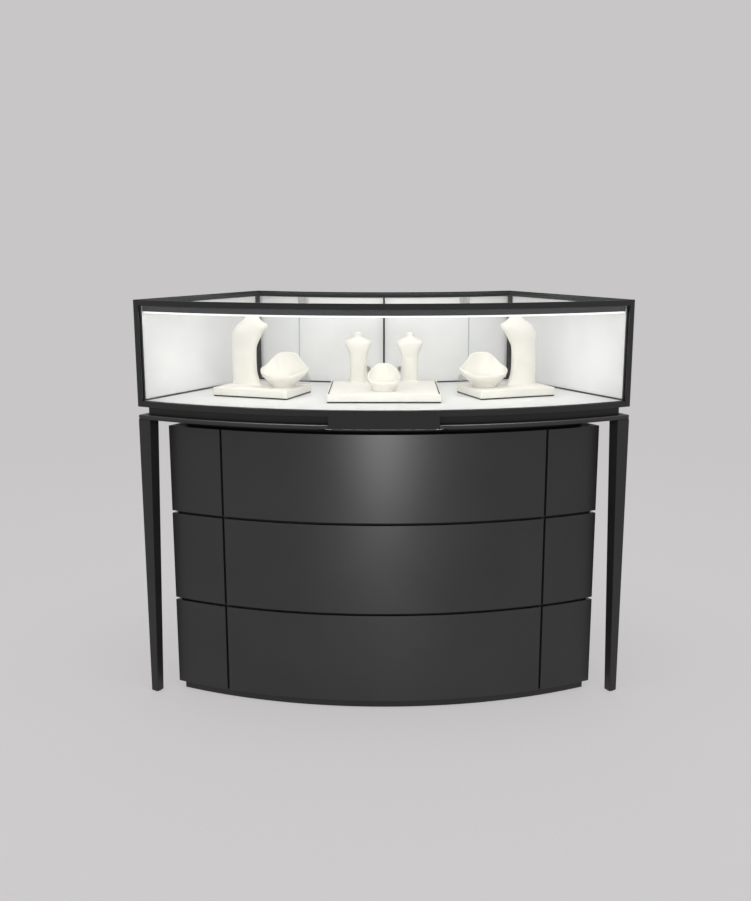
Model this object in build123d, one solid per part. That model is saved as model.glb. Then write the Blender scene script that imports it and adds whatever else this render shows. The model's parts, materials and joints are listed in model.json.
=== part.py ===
"""Curved showcase counter: a glazed, lit case on a dark cabinet, one sixth of a full ring.

Millimetres, +Z up. The front bulges towards -Y and the staff side faces +Y. The origin is
at floor level, at the middle of the counter's outline. Everything is laid out around one
vertical axis, the ring's centre, which lies behind the counter.
"""
from build123d import *
import os
from math import asin, cos, degrees, radians, sin

os.makedirs("parts", exist_ok=True)

# ---- Driving dimensions -------------------------------------------------------------
COUNTER_HEIGHT = 1000.0
FRONT_RADIUS = 1200.0
BACK_RADIUS = 700.0
HALF_ANGLE = 30.0           # six counters side by side close a ring
SECTION = 14.0              # square metal profile of the case frame, and depth of the base frame
BASE_SECTION = 11.0         # height of the base frame
LEG_HEIGHT = 711.0          # floor to the underside of the base frame
NECK_HEIGHT = 20.0          # recessed step between the base frame and the case
NECK_INSET = 18.0
CABINET_INSET = 50.0        # cabinet face, set in from the frame's outline
CABINET_BACK = 450.0        # flat staff side of the cabinet, behind the front's apex
CLADDING = 10.0             # thickness of the facing panels
BOARD = 16.0
FRONT_CORE = 12.0
GROOVE = 6.0                # shadow gap between facing panels
CENTRE_FACING_ANGLE = 20.1  # where the upright grooves are
TIER_HEIGHT = 222.0
PLINTH_HEIGHT = 20.0
PLINTH_STEP = 11.0          # plinth, set in from the cabinet face
SPACER_HEIGHT = 19.0        # shadow gap between the cabinet and the base frame
SPACER_INSET = 80.0
GLASS = 6.0
GLASS_LAP = 4.0             # how far a pane enters its frame
GLAZING_GAP = 0.3
DOOR_EDGE_ANGLE = 19.2      # hinge side of each rear glass door
FIT = 0.05                  # running clearance on the radius of a pivot

# ---- Levels and radii worked out from them ------------------------------------------
BASE_TOP = LEG_HEIGHT + BASE_SECTION
CASE_BOTTOM = BASE_TOP + NECK_HEIGHT
DECK = CASE_BOTTOM + SECTION
RAIL_BOTTOM = COUNTER_HEIGHT - SECTION
OUTLINE_DEPTH = FRONT_RADIUS - BACK_RADIUS * cos(radians(HALF_ANGLE))
APEX_Y = -OUTLINE_DEPTH / 2
AXIS_Y = APEX_Y + FRONT_RADIUS
BACK_PLANE = APEX_Y + CABINET_BACK
CABINET_TOP = LEG_HEIGHT - SPACER_HEIGHT
CABINET_RADIUS = FRONT_RADIUS - CABINET_INSET
CORE_RADIUS = CABINET_RADIUS - CLADDING
INNER_RADIUS = CORE_RADIUS - FRONT_CORE
CORE_INSET = CABINET_INSET + CLADDING
INNER_INSET = CORE_INSET + BOARD
FRONT_INNER = FRONT_RADIUS - SECTION
BACK_INNER = BACK_RADIUS + SECTION


# ---- Shapes around the ring's axis --------------------------------------------------
def at(radius, angle, z=0.0):
    """Point at a radius from the ring's axis; angle 0 is the middle, positive to the right."""
    return Vector(radius * sin(radians(angle)), AXIS_Y - radius * cos(radians(angle)), z)


def sector(r_in, r_out, z_low, z_high, left=-HALF_ANGLE, right=HALF_ANGLE, trim=(0.0, 0.0)):
    """Upright slab between two arcs. Each end is parallel to a radius of the ring,
    moved towards the slab's middle by its trim."""
    def ends(radius):
        return (left + degrees(asin(trim[0] / radius)), right - degrees(asin(trim[1] / radius)))

    outer_left, outer_right = ends(r_out)
    inner_left, inner_right = ends(r_in)
    outline = (
        Line(at(r_in, inner_left), at(r_out, outer_left))
        + ThreePointArc(
            at(r_out, outer_left), at(r_out, (outer_left + outer_right) / 2), at(r_out, outer_right)
        )
        + Line(at(r_out, outer_right), at(r_in, inner_right))
        + ThreePointArc(
            at(r_in, inner_right), at(r_in, (inner_left + inner_right) / 2), at(r_in, inner_left)
        )
    )
    return Pos(0, 0, z_low) * extrude(make_face(outline), z_high - z_low)


def band(r_in, r_out, z_low, z_high, inset):
    """Slab across the whole counter, its two ends set in from the counter's sides."""
    return sector(r_in, r_out, z_low, z_high, trim=(inset, inset))


def left_strip(r_in, r_out, z_low, z_high, inset, width):
    """Slab along the left side, set in from it."""
    return sector(
        r_in, r_out, z_low, z_high, left=-HALF_ANGLE, right=-HALF_ANGLE, trim=(inset, -inset - width)
    )


def mirrored(shape):
    return mirror(shape, about=Plane.YZ)


def both_sides_of_all(shapes):
    return Compound(children=shapes + [mirrored(shape) for shape in shapes])


def both_sides(shape):
    return both_sides_of_all([shape])


def before_back(shape, back=BACK_PLANE):
    """The part of a cabinet piece in front of the flat staff side."""
    reach = 3 * FRONT_RADIUS
    return shape & Pos(0, back - reach / 2, 0) * Box(reach, reach, reach)


def rod(radius, z_low, z_high, centre):
    """Upright round bar."""
    height = z_high - z_low
    return Pos(centre.X, centre.Y, z_low + height / 2) * Cylinder(radius, height)


def radial_rod(radius, r_in, r_out, angle, z):
    """Round bar that lies along a radius of the ring."""
    outward = (at(r_out, angle) - at(r_in, angle)).normalized()
    start = Plane(origin=at(r_in, angle, z), z_dir=outward)
    return extrude(start * Circle(radius), r_out - r_in)


def save(name, shape):
    export_step(shape, f"parts/{name}.step")


# ---- Glass panes and the slots that hold them ---------------------------------------
PANE_LOW = DECK - GLASS_LAP
PANE_HIGH = RAIL_BOTTOM + GLASS_LAP
PANE_INSET = SECTION - GLASS_LAP
MARGIN = (SECTION - GLASS) / 2
SIDE_PANE_LAP = 3.0         # the side panes enter the corner posts a little less
TOP_GLASS_DROP = 1.0        # top of the glass, below the top of its frame


def front_pane(gap=0.0):
    outside = FRONT_RADIUS - MARGIN
    return band(
        outside - GLASS - gap, outside + gap, PANE_LOW - gap, PANE_HIGH + gap, PANE_INSET - gap
    )


def left_pane(gap=0.0):
    lowest = BACK_INNER - SIDE_PANE_LAP
    highest = FRONT_INNER + SIDE_PANE_LAP
    return left_strip(
        lowest - gap, highest + gap, PANE_LOW - gap, PANE_HIGH + gap, MARGIN - gap, GLASS + 2 * gap
    )


def rear_left_pane(gap=0.0):
    inside = BACK_RADIUS + MARGIN
    return sector(
        inside - gap,
        inside + GLASS + gap,
        PANE_LOW - gap,
        PANE_HIGH + gap,
        right=-DOOR_EDGE_ANGLE,
        trim=(PANE_INSET - gap, -gap),
    )


TOP_GLASS_SEAT = COUNTER_HEIGHT - GLASS - TOP_GLASS_DROP
TOP_GLASS_INSET = SECTION / 2


def top_pane(gap=0.0, headroom=0.0):
    return band(
        BACK_RADIUS + TOP_GLASS_INSET - gap,
        FRONT_RADIUS - TOP_GLASS_INSET + gap,
        TOP_GLASS_SEAT,
        TOP_GLASS_SEAT + GLASS + headroom,
        TOP_GLASS_INSET - gap,
    )


glazing_slots = [
    front_pane(GLAZING_GAP),
    left_pane(GLAZING_GAP),
    mirrored(left_pane(GLAZING_GAP)),
    rear_left_pane(GLAZING_GAP),
    mirrored(rear_left_pane(GLAZING_GAP)),
    top_pane(2 * GLAZING_GAP, 2 * TOP_GLASS_DROP),
]

save("front_glass", front_pane())
save("side_glass", both_sides(left_pane()))
save("rear_fixed_glass", both_sides(rear_left_pane()))
save("top_glass", top_pane())

# ---- Rear glass doors ---------------------------------------------------------------
PANE_MIDDLE = BACK_RADIUS + SECTION / 2
DOOR_GAP = 3.0              # between a door and the fixed pane beside it
MEETING_GAP = 2.5           # from a door's free edge to the middle of the counter
RAIL_GAP = 2.0              # above and below a door
PIVOT_SETBACK = 10.0        # pivot, from the door's edge
PIVOT_RADIUS = 4.0
PIVOT_DEPTH = 5.5
PATCH_WIDTH = 24.0
PATCH_HEIGHT = 16.0
PATCH_THICKNESS = 12.0

pivot_angle = -DOOR_EDGE_ANGLE + degrees((DOOR_GAP + PIVOT_SETBACK) / PANE_MIDDLE)
left_pivot = at(PANE_MIDDLE, pivot_angle)
right_pivot = at(PANE_MIDDLE, -pivot_angle)
door_low = DECK + RAIL_GAP
door_high = RAIL_BOTTOM - RAIL_GAP


def door_slab(thickness, z_low, z_high, trim_right, right=0.0):
    """Piece of the left door, centred on the thickness of its pane."""
    return sector(
        PANE_MIDDLE - thickness / 2,
        PANE_MIDDLE + thickness / 2,
        z_low,
        z_high,
        left=-DOOR_EDGE_ANGLE,
        right=right,
        trim=(DOOR_GAP, trim_right),
    )


def patch(z_low, z_high):
    """Clamp fitting at a corner of the left door."""
    return door_slab(
        PATCH_THICKNESS, z_low, z_high, -DOOR_GAP - PATCH_WIDTH, right=-DOOR_EDGE_ANGLE
    )


def left_door_patches(pane):
    upper = patch(door_high - PATCH_HEIGHT, door_high) - pane
    lower = patch(door_low, door_low + PATCH_HEIGHT) - pane
    upper += rod(PIVOT_RADIUS, door_high, RAIL_BOTTOM + PIVOT_DEPTH, left_pivot)
    lower += rod(PIVOT_RADIUS, DECK - PIVOT_DEPTH, door_low, left_pivot)
    return Compound(children=[upper, lower])


KNOB_ANGLE = 3.6
KNOB_HEIGHT = DECK + 38.0
KNOB_RADIUS = 10.0
KNOB_REACH = 18.0
KNOB_NECK = 6.0             # from the pane to the knob's grip
KNOB_STEM_RADIUS = 4.0
KNOB_WASHER_RADIUS = 7.0
KNOB_WASHER = 2.0
HARDWARE_GAP = 0.1          # left between a fitting's flange and the curved pane
THROUGH = 2.0               # how far a cutting tool runs past both faces
pane_staff_face = PANE_MIDDLE - GLASS / 2
pane_case_face = PANE_MIDDLE + GLASS / 2


def knob_part(radius, r_in, r_out):
    return radial_rod(radius, r_in, r_out, -KNOB_ANGLE, KNOB_HEIGHT)


knob_hole = knob_part(KNOB_STEM_RADIUS + 0.5, pane_staff_face - THROUGH, pane_case_face + THROUGH)
washer_seat = pane_case_face + HARDWARE_GAP
left_knob = (
    knob_part(KNOB_RADIUS, pane_staff_face - KNOB_REACH, pane_staff_face - KNOB_NECK)
    + knob_part(KNOB_STEM_RADIUS, pane_staff_face - KNOB_NECK, washer_seat + KNOB_WASHER)
    + knob_part(KNOB_WASHER_RADIUS, washer_seat, washer_seat + KNOB_WASHER)
)
left_door_pane = door_slab(GLASS, door_low, door_high, MEETING_GAP) - knob_hole

# The lock clamps on the right door near its foot; its cam turns behind the mullion.
LOCK_ANGLE = 1.5
LOCK_HEIGHT = DECK + 16.0
LOCK_RADIUS = 8.0
LOCK_FLANGE = 2.0           # how far the lock's flange reaches past its hole
LOCK_LENGTH = 10.0          # on the staff side of the pane
LOCK_TAIL = 3.0             # on the other side
LOCK_BARREL_RADIUS = 5.0
CAM_LENGTH = 24.0
CAM_WIDTH = 7.0
CAM_CORNER = 3.0
CAM_THICKNESS = 2.0
CAM_GAP = 1.5               # from the mullion to the cam
MULLION_GAP = 4.5           # from the doors' panes to the mullion
MULLION_WIDTH = 5.0
MULLION_DEPTH = 7.5
mullion_back = pane_case_face + MULLION_GAP
cam_back = mullion_back + MULLION_DEPTH + CAM_GAP
lock_face = pane_staff_face - LOCK_LENGTH
lock_tail = pane_case_face + LOCK_TAIL
flange_back = pane_staff_face - 2 * HARDWARE_GAP


def lock_part(radius, r_in, r_out):
    return radial_rod(radius, r_in, r_out, LOCK_ANGLE, LOCK_HEIGHT)


lock_hole = lock_part(LOCK_RADIUS, pane_staff_face - THROUGH, pane_case_face + THROUGH)
lock_body = (
    lock_part(LOCK_RADIUS + LOCK_FLANGE, lock_face, flange_back)
    + lock_part(LOCK_RADIUS - 2 * HARDWARE_GAP, flange_back, lock_tail)
    - lock_part(LOCK_BARREL_RADIUS + FIT, lock_face - THROUGH, lock_tail + THROUGH)
)
lock_barrel = lock_part(LOCK_BARREL_RADIUS, lock_face - 1.0, cam_back)
cam_plane = Plane(
    origin=at(cam_back, LOCK_ANGLE, LOCK_HEIGHT),
    x_dir=(0, 0, 1),
    z_dir=(at(cam_back + 1, LOCK_ANGLE) - at(cam_back, LOCK_ANGLE)),
)
cam_outline = Pos((CAM_LENGTH - CAM_WIDTH) / 2, 0) * RectangleRounded(CAM_LENGTH, CAM_WIDTH, CAM_CORNER)
lock_cam = extrude(cam_plane * cam_outline, CAM_THICKNESS)

save("left_glass_door", left_door_pane)
save("right_glass_door", mirrored(left_door_pane) - lock_hole)
save("left_glass_door_pivots", left_door_patches(left_door_pane))
save("right_glass_door_pivots", mirrored(left_door_patches(left_door_pane)))
save("left_glass_door_knob", left_knob)
save("right_glass_door_knob", mirrored(left_knob))
save("glass_door_lock_body", lock_body)
save("glass_door_lock_cam", lock_barrel + lock_cam)
save(
    "rear_centre_mullion",
    sector(
        mullion_back,
        mullion_back + MULLION_DEPTH,
        DECK,
        RAIL_BOTTOM,
        left=0.0,
        right=0.0,
        trim=(-MULLION_WIDTH / 2, -MULLION_WIDTH / 2),
    ),
)

# ---- Case frame ---------------------------------------------------------------------
PIVOT_END_GAP = 0.5
pivot_holes = [
    rod(PIVOT_RADIUS + FIT, z_low, z_high, centre)
    for centre in (left_pivot, right_pivot)
    for z_low, z_high in (
        (DECK - PIVOT_DEPTH - PIVOT_END_GAP, DECK + THROUGH),
        (RAIL_BOTTOM - THROUGH, RAIL_BOTTOM + PIVOT_DEPTH + PIVOT_END_GAP),
    )
]

PLATE_ANGLE = 6.17
PLATE_SKIN = 2.0
PLATE_MARGIN = 1.0          # from the plate's edges to the edges of the rails it covers
plate_skin = sector(
    FRONT_RADIUS - PLATE_SKIN,
    FRONT_RADIUS,
    LEG_HEIGHT + PLATE_MARGIN,
    DECK - PLATE_MARGIN,
    left=-PLATE_ANGLE,
    right=PLATE_ANGLE,
)
plate_block = sector(
    FRONT_RADIUS - NECK_INSET,
    FRONT_RADIUS - PLATE_SKIN / 2,
    BASE_TOP,
    CASE_BOTTOM,
    left=-PLATE_ANGLE,
    right=PLATE_ANGLE,
)
save("name_plate", plate_skin + plate_block)


def cut_all(shape, tools):
    for tool in tools:
        shape = shape - tool
    return shape


def front_rail(z_low):
    return band(FRONT_INNER, FRONT_RADIUS, z_low, z_low + SECTION, SECTION)


def rear_rail(z_low):
    return band(BACK_RADIUS, BACK_INNER, z_low, z_low + SECTION, SECTION)


def left_rail(z_low, height=SECTION):
    return left_strip(BACK_INNER, FRONT_INNER, z_low, z_low + height, 0.0, SECTION)


def left_posts(z_low, z_high):
    return [
        left_strip(FRONT_INNER, FRONT_RADIUS, z_low, z_high, 0.0, SECTION),
        left_strip(BACK_RADIUS, BACK_INNER, z_low, z_high, 0.0, SECTION),
    ]


save("case_top_front_rail", cut_all(front_rail(RAIL_BOTTOM), glazing_slots))
save("case_top_rear_rail", cut_all(rear_rail(RAIL_BOTTOM), glazing_slots + pivot_holes))
save("case_top_side_rails", both_sides(cut_all(left_rail(RAIL_BOTTOM), glazing_slots)))
save("case_bottom_front_rail", cut_all(front_rail(CASE_BOTTOM), glazing_slots + [plate_skin]))
save("case_bottom_rear_rail", cut_all(rear_rail(CASE_BOTTOM), glazing_slots + pivot_holes))
save("case_bottom_side_rails", both_sides(cut_all(left_rail(CASE_BOTTOM), glazing_slots)))

posts = [cut_all(post, glazing_slots) for post in left_posts(CASE_BOTTOM, COUNTER_HEIGHT)]
save("case_posts", both_sides_of_all(posts))

# ---- Deck and lighting --------------------------------------------------------------
LINING = 2.0
LED_DEPTH = 17.0
LED_HEIGHT = 14.0
LED_WALL = 2.0
LED_STRIP = 1.5
LENS_DROP = 4.0             # how far the diffuser hangs below its housing
LED_END = SECTION + 4.0
GLASS_CLEARANCE = 1.0

save("deck_board", band(BACK_INNER, FRONT_INNER, CASE_BOTTOM, DECK - LINING, SECTION))
save("deck_lining", band(BACK_INNER, FRONT_INNER, DECK - LINING, DECK, SECTION))

led_out = FRONT_RADIUS - MARGIN - GLASS - GLASS_CLEARANCE
led_in = led_out - LED_DEPTH
led_low = RAIL_BOTTOM - LED_HEIGHT
channel_inset = LED_END + LED_WALL
led_channel = band(
    led_in + LED_WALL, led_out - LED_WALL, led_low - THROUGH, RAIL_BOTTOM - LED_WALL, channel_inset
)
save("led_housing", band(led_in, led_out, led_low, RAIL_BOTTOM, LED_END) - led_channel)
save(
    "led_strip",
    band(
        led_in + 2 * LED_WALL,
        led_out - 2 * LED_WALL,
        RAIL_BOTTOM - LED_WALL - LED_STRIP,
        RAIL_BOTTOM - LED_WALL,
        LED_END + 2 * LED_WALL,
    ),
)
save(
    "led_diffuser",
    band(
        led_in + LED_WALL, led_out - LED_WALL, led_low - LENS_DROP, led_low + LED_WALL, channel_inset
    ),
)

# ---- Base frame, neck and legs ------------------------------------------------------
save(
    "neck_board",
    band(BACK_RADIUS + NECK_INSET, FRONT_RADIUS - NECK_INSET, BASE_TOP, CASE_BOTTOM, NECK_INSET),
)
save("base_front_rail", band(FRONT_INNER, FRONT_RADIUS, LEG_HEIGHT, BASE_TOP, 0.0) - plate_skin)
save("base_rear_rail", band(BACK_RADIUS, BACK_INNER, LEG_HEIGHT, BASE_TOP, 0.0))
save("base_side_rails", both_sides(left_rail(LEG_HEIGHT, BASE_SECTION)))
save("base_panel", band(BACK_INNER, FRONT_INNER, LEG_HEIGHT, BASE_TOP, SECTION))

LEG_TOP = (36.0, 31.0)      # along the front, then towards the ring's axis
LEG_FOOT = (21.0, 21.0)
GLIDE = 2.0
GLIDE_RADIUS = 8.0


def corner_outline(radius, inward, size, z):
    """Four-cornered outline at the left side; inward is -1 at the front and +1 at the back."""
    near, far = radius, radius + inward * size[1]
    corners = [
        at(near, -HALF_ANGLE, z),
        at(near, -HALF_ANGLE + degrees(size[0] / near), z),
        at(far, -HALF_ANGLE + degrees(asin(size[0] / far)), z),
        at(far, -HALF_ANGLE, z),
    ]
    return make_face(Polyline(*corners, close=True))


def left_leg(radius, inward):
    foot = corner_outline(radius, inward, LEG_FOOT, GLIDE)
    top = corner_outline(radius, inward, LEG_TOP, LEG_HEIGHT)
    return loft([foot, top], ruled=True)


def left_glide(radius, inward):
    middle = at(
        radius + inward * LEG_FOOT[1] / 2, -HALF_ANGLE + degrees(LEG_FOOT[0] / 2 / radius)
    )
    return rod(GLIDE_RADIUS, 0.0, GLIDE, middle)


save("front_legs", both_sides(left_leg(FRONT_RADIUS, -1)))
save("rear_legs", both_sides(left_leg(BACK_RADIUS, 1)))
save("leg_glides", both_sides_of_all([left_glide(FRONT_RADIUS, -1), left_glide(BACK_RADIUS, 1)]))

# ---- Cabinet ------------------------------------------------------------------------
TRACK_DEPTH = 24.0
DEEP = 500.0                # any radius well behind the cabinet's flat back
inside_back = BACK_PLANE - TRACK_DEPTH


def cabinet_slab(z_low, z_high, inset=INNER_INSET, radius=INNER_RADIUS, back=BACK_PLANE):
    return before_back(band(DEEP, radius, z_low, z_high, inset), back)


GROMMET_RADIUS = 25.0
GROMMET_WALL = 3.0
GROMMET_LIP = 4.0
GROMMET_LIP_HEIGHT = 3.0
GROMMET_FOOT = 2.0          # underside of the grommet, above the floor
GROMMET_X = 250.0
GROMMET_SETBACK = 60.0      # in front of the sliding doors' tracks
floor_inside = PLINTH_HEIGHT + BOARD
grommet_centre = Vector(GROMMET_X, inside_back - GROMMET_SETBACK, 0.0)
grommet_hole = rod(GROMMET_RADIUS, -THROUGH, floor_inside + THROUGH, grommet_centre)

SPACER_BACK = 20.0          # from the cabinet's back to the spacer
plinth_inset = CABINET_INSET + PLINTH_STEP
plinth = cabinet_slab(
    0.0, PLINTH_HEIGHT, plinth_inset, FRONT_RADIUS - plinth_inset, BACK_PLANE - PLINTH_STEP
)
spacer = cabinet_slab(
    CABINET_TOP, LEG_HEIGHT, SPACER_INSET, FRONT_RADIUS - SPACER_INSET, BACK_PLANE - SPACER_BACK
)
grommet_lip_top = floor_inside + GROMMET_LIP_HEIGHT
grommet = (
    rod(GROMMET_RADIUS - 2 * FIT, GROMMET_FOOT, floor_inside, grommet_centre)
    + rod(GROMMET_RADIUS + GROMMET_LIP, floor_inside, grommet_lip_top, grommet_centre)
    - rod(GROMMET_RADIUS - GROMMET_WALL, 0.0, grommet_lip_top + THROUGH, grommet_centre)
)
save("plinth_board", plinth - grommet_hole)
save("cabinet_bottom_board", cabinet_slab(PLINTH_HEIGHT, floor_inside) - grommet_hole)
save("cabinet_top_board", cabinet_slab(CABINET_TOP - BOARD, CABINET_TOP))
save("cabinet_spacer", spacer)
save("cabinet_front_core", band(INNER_RADIUS, CORE_RADIUS, PLINTH_HEIGHT, CABINET_TOP, CORE_INSET))
save("cable_grommet", grommet)

SHELF_LEVEL = 356.0
SHELF_CLEAR = 1.0           # shelf to the side boards and the front core
SHELF_SETBACK = 4.0         # shelf to the tracks
PIN_RADIUS = 2.5
PIN_LENGTH = 18.0
PIN_INSERT = 8.0
PIN_SETBACKS = (60.0, 210.0)
save(
    "cabinet_shelf",
    cabinet_slab(
        SHELF_LEVEL,
        SHELF_LEVEL + BOARD,
        INNER_INSET + SHELF_CLEAR,
        INNER_RADIUS - SHELF_CLEAR,
        inside_back - SHELF_SETBACK,
    ),
)


def left_shelf_pin(radius):
    """Peg square to the left side board, just under the shelf."""
    turn = -HALF_ANGLE + degrees(asin(INNER_INSET / radius))
    foot = at(radius, turn, SHELF_LEVEL - PIN_RADIUS)
    inward = Vector(cos(radians(HALF_ANGLE)), -sin(radians(HALF_ANGLE)), 0)
    start = Plane(origin=foot - inward * PIN_INSERT, z_dir=inward)
    return extrude(start * Circle(PIN_RADIUS), PIN_LENGTH)


pins = [left_shelf_pin(INNER_RADIUS - setback) for setback in PIN_SETBACKS]
save("shelf_pins", both_sides_of_all(pins))

left_side = before_back(
    left_strip(DEEP, INNER_RADIUS, PLINTH_HEIGHT, CABINET_TOP, CORE_INSET, BOARD)
)
left_side = cut_all(left_side, pins)
save("cabinet_left_side", left_side)
save("cabinet_right_side", mirrored(left_side))

# Facing panels: three tiers, each with a centre panel and a corner panel that wraps
# round each end.
tiers = []
level = PLINTH_HEIGHT
for name in ("lower", "middle", "upper"):
    top = CABINET_TOP if name == "upper" else level + TIER_HEIGHT
    tiers.append((name, level, top))
    level = top + GROOVE

for name, low, high in tiers:
    centre_panel = sector(
        CORE_RADIUS,
        CABINET_RADIUS,
        low,
        high,
        left=-CENTRE_FACING_ANGLE,
        right=CENTRE_FACING_ANGLE,
        trim=(GROOVE / 2, GROOVE / 2),
    )
    corner_front = sector(
        CORE_RADIUS,
        CABINET_RADIUS,
        low,
        high,
        right=-CENTRE_FACING_ANGLE,
        trim=(CABINET_INSET, GROOVE / 2),
    )
    corner_return = before_back(
        left_strip(DEEP, CORE_RADIUS, low, high, CABINET_INSET, CLADDING)
    )
    corner_panel = corner_front + corner_return
    save(f"centre_facing_{name}", centre_panel)
    save(f"corner_facings_{name}", both_sides(corner_panel))

# ---- Sliding doors on the staff side ------------------------------------------------
SLIDER = 8.0                # thickness of a sliding door
SLOT = SLIDER + 1.0
TRACK_HEIGHT = 8.0
SLOT_DEPTH = 6.0
SLIDER_OVERLAP = 16.0
SLIDER_CLEAR = 0.5
PULL_RADIUS = 14.0
PULL_WALL = 1.5
PULL_EDGE = 40.0            # from the door's outer edge to the middle of its pull
SIDE_CLEAR = 1.0

ceiling_inside = CABINET_TOP - BOARD
track_middle = BACK_PLANE - TRACK_DEPTH / 2
slot_offset = TRACK_DEPTH / 4
# The side boards run back towards each other, so the way between them is measured at the back.
side_run = (AXIS_Y - BACK_PLANE - INNER_INSET * sin(radians(HALF_ANGLE))) / cos(radians(HALF_ANGLE))
half_width = side_run * sin(radians(HALF_ANGLE)) - INNER_INSET * cos(radians(HALF_ANGLE))
track_length = 2 * (half_width - SIDE_CLEAR)


def track(z_low, slot_low):
    bar = Pos(0, track_middle, z_low + TRACK_HEIGHT / 2) * Box(track_length, TRACK_DEPTH, TRACK_HEIGHT)
    for side in (-1, 1):
        slot_y = track_middle + side * slot_offset
        groove = Box(track_length + THROUGH, SLOT, SLOT_DEPTH)
        bar -= Pos(0, slot_y, slot_low + SLOT_DEPTH / 2) * groove
    return bar


slider_low = floor_inside + TRACK_HEIGHT - SLOT_DEPTH
slider_high = ceiling_inside - TRACK_HEIGHT + SLOT_DEPTH - SLIDER_CLEAR
slider_width = (track_length + SLIDER_OVERLAP) / 2
slider_middle = track_length / 2 - slider_width / 2
pull_height = (slider_low + slider_high) / 2

lower_track = track(floor_inside, slider_low)
upper_track = track(ceiling_inside - TRACK_HEIGHT, ceiling_inside - TRACK_HEIGHT)
save("sliding_door_tracks", Compound(children=[lower_track, upper_track]))


def sliding_door(side, y):
    """side is -1 for the left door, in the inner slot, and +1 for the right, in the outer."""
    height = slider_high - slider_low
    leaf = Pos(side * slider_middle, y, slider_low + height / 2) * Box(slider_width, SLIDER, height)
    pull_x = side * (track_length / 2 - PULL_EDGE)
    pull_axis = Pos(pull_x, y, pull_height) * Rot(90, 0, 0)
    recess_axis = Pos(pull_x, y + PULL_WALL, pull_height) * Rot(90, 0, 0)
    leaf -= pull_axis * Cylinder(PULL_RADIUS, SLIDER * 2)
    cup = pull_axis * Cylinder(PULL_RADIUS, SLIDER)
    return leaf, cup - recess_axis * Cylinder(PULL_RADIUS - PULL_WALL, SLIDER)


for name, side in (("left", -1), ("right", 1)):
    leaf, cup = sliding_door(side, track_middle + side * slot_offset)
    save(f"{name}_sliding_door", leaf)
    save(f"{name}_sliding_door_pull", cup)

DRIVER = (160.0, 44.0, 30.0)
DRIVER_SETBACK = 120.0      # in front of the tracks
driver_place = Pos(0, inside_back - DRIVER_SETBACK, ceiling_inside - DRIVER[2] / 2)
save("led_driver", driver_place * Box(*DRIVER))

# ---- Loose display fittings on the deck ---------------------------------------------
CENTRE_TRAY = (276.0, 253.0)
SIDE_TRAY = (204.0, 147.0)
TRAY_HEIGHT = 22.0
TRAY_CORNER = 3.0
CENTRE_TRAY_FRONT = 121.0   # from the front's apex
SIDE_TRAY_RADIUS = 974.0
SIDE_TRAY_ANGLE = 18.4
TRAY_TURN = 20.4

centre_tray_front = APEX_Y + CENTRE_TRAY_FRONT
side_tray_centre = at(SIDE_TRAY_RADIUS, -SIDE_TRAY_ANGLE)
side_tray_place = Pos(side_tray_centre.X, side_tray_centre.Y, DECK) * Rot(0, 0, -TRAY_TURN)


def tray(width, depth):
    return extrude(RectangleRounded(width, depth, TRAY_CORNER), TRAY_HEIGHT)


def on_centre_tray(x, setback):
    """Place on top of the centre tray, measured back from its front edge."""
    return Pos(x, centre_tray_front + setback, DECK + TRAY_HEIGHT)


def on_side_tray(x, y):
    """Place on top of the left tray, measured from its middle."""
    return side_tray_place * Pos(x, y, TRAY_HEIGHT)


def oval_form(levels):
    """Closed form through level ovals of (height, left, right, depth)."""
    ovals = [
        Pos((left + right) / 2, 0, height) * Ellipse((right - left) / 2, depth / 2)
        for height, left, right, depth in levels
    ]
    return loft(ovals, ruled=True)


centre_tray = Pos(0, centre_tray_front + CENTRE_TRAY[1] / 2, DECK) * tray(*CENTRE_TRAY)
side_tray = side_tray_place * tray(*SIDE_TRAY)
save("display_trays", Compound(children=[centre_tray, side_tray, mirrored(side_tray)]))

# Neck forms for chains: an oval column, wide shoulders and a short neck.
BUST_X = 66.5
BUST_SETBACK = 232.0
BUST_LEVELS = (
    (0.0, -23.0, 23.0, 34.0),
    (58.0, -22.5, 22.5, 30.0),
    (72.0, -25.0, 25.0, 32.0),
    (98.0, -34.0, 34.0, 36.0),
    (106.0, -34.0, 34.0, 34.0),
    (116.0, -18.0, 18.0, 28.0),
    (128.0, -12.0, 12.0, 22.0),
)
save("neck_busts", both_sides(on_centre_tray(-BUST_X, BUST_SETBACK) * oval_form(BUST_LEVELS)))

# Tall chain stands: a column with one upright side, whose head reaches towards the middle.
STAND_PLACE = (-59.0, 14.0)
STAND_LEVELS = (
    (0.0, -32.0, 50.0, 38.0),
    (14.0, -32.0, 41.0, 34.0),
    (30.0, -32.0, 36.0, 31.0),
    (65.0, -32.0, 34.0, 30.0),
    (98.0, -32.5, 36.0, 32.0),
    (117.0, -32.5, 44.0, 36.0),
    (131.0, -30.5, 53.0, 38.0),
    (144.0, -24.0, 62.0, 38.0),
    (155.0, -15.0, 57.0, 34.0),
    (166.0, 0.0, 42.0, 24.0),
    (170.0, 10.0, 32.0, 12.0),
)
save("side_chain_stands", both_sides(on_side_tray(*STAND_PLACE) * oval_form(STAND_LEVELS)))

# Dishes for rings: a hollow cap of a ball that tips its mouth towards the customer, on a foot.
DISH_WALL = 4.0
DISH_TIP = 28.0
DISH_DEPTH = 0.62           # these five are shares of the dish's radius
DISH_LIFT = 0.66            # from the tray to the middle of the cap's depth
DISH_BACK = 0.3             # from the foot's middle back to the cap's
FOOT_RADIUS = 0.50
FOOT_TOP_RADIUS = 0.34
SIDE_DISH = 58.0
SIDE_DISH_PLACE = (57.0, 3.0)
CENTRE_DISH = 40.0
CENTRE_DISH_SETBACK = 66.0


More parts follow.
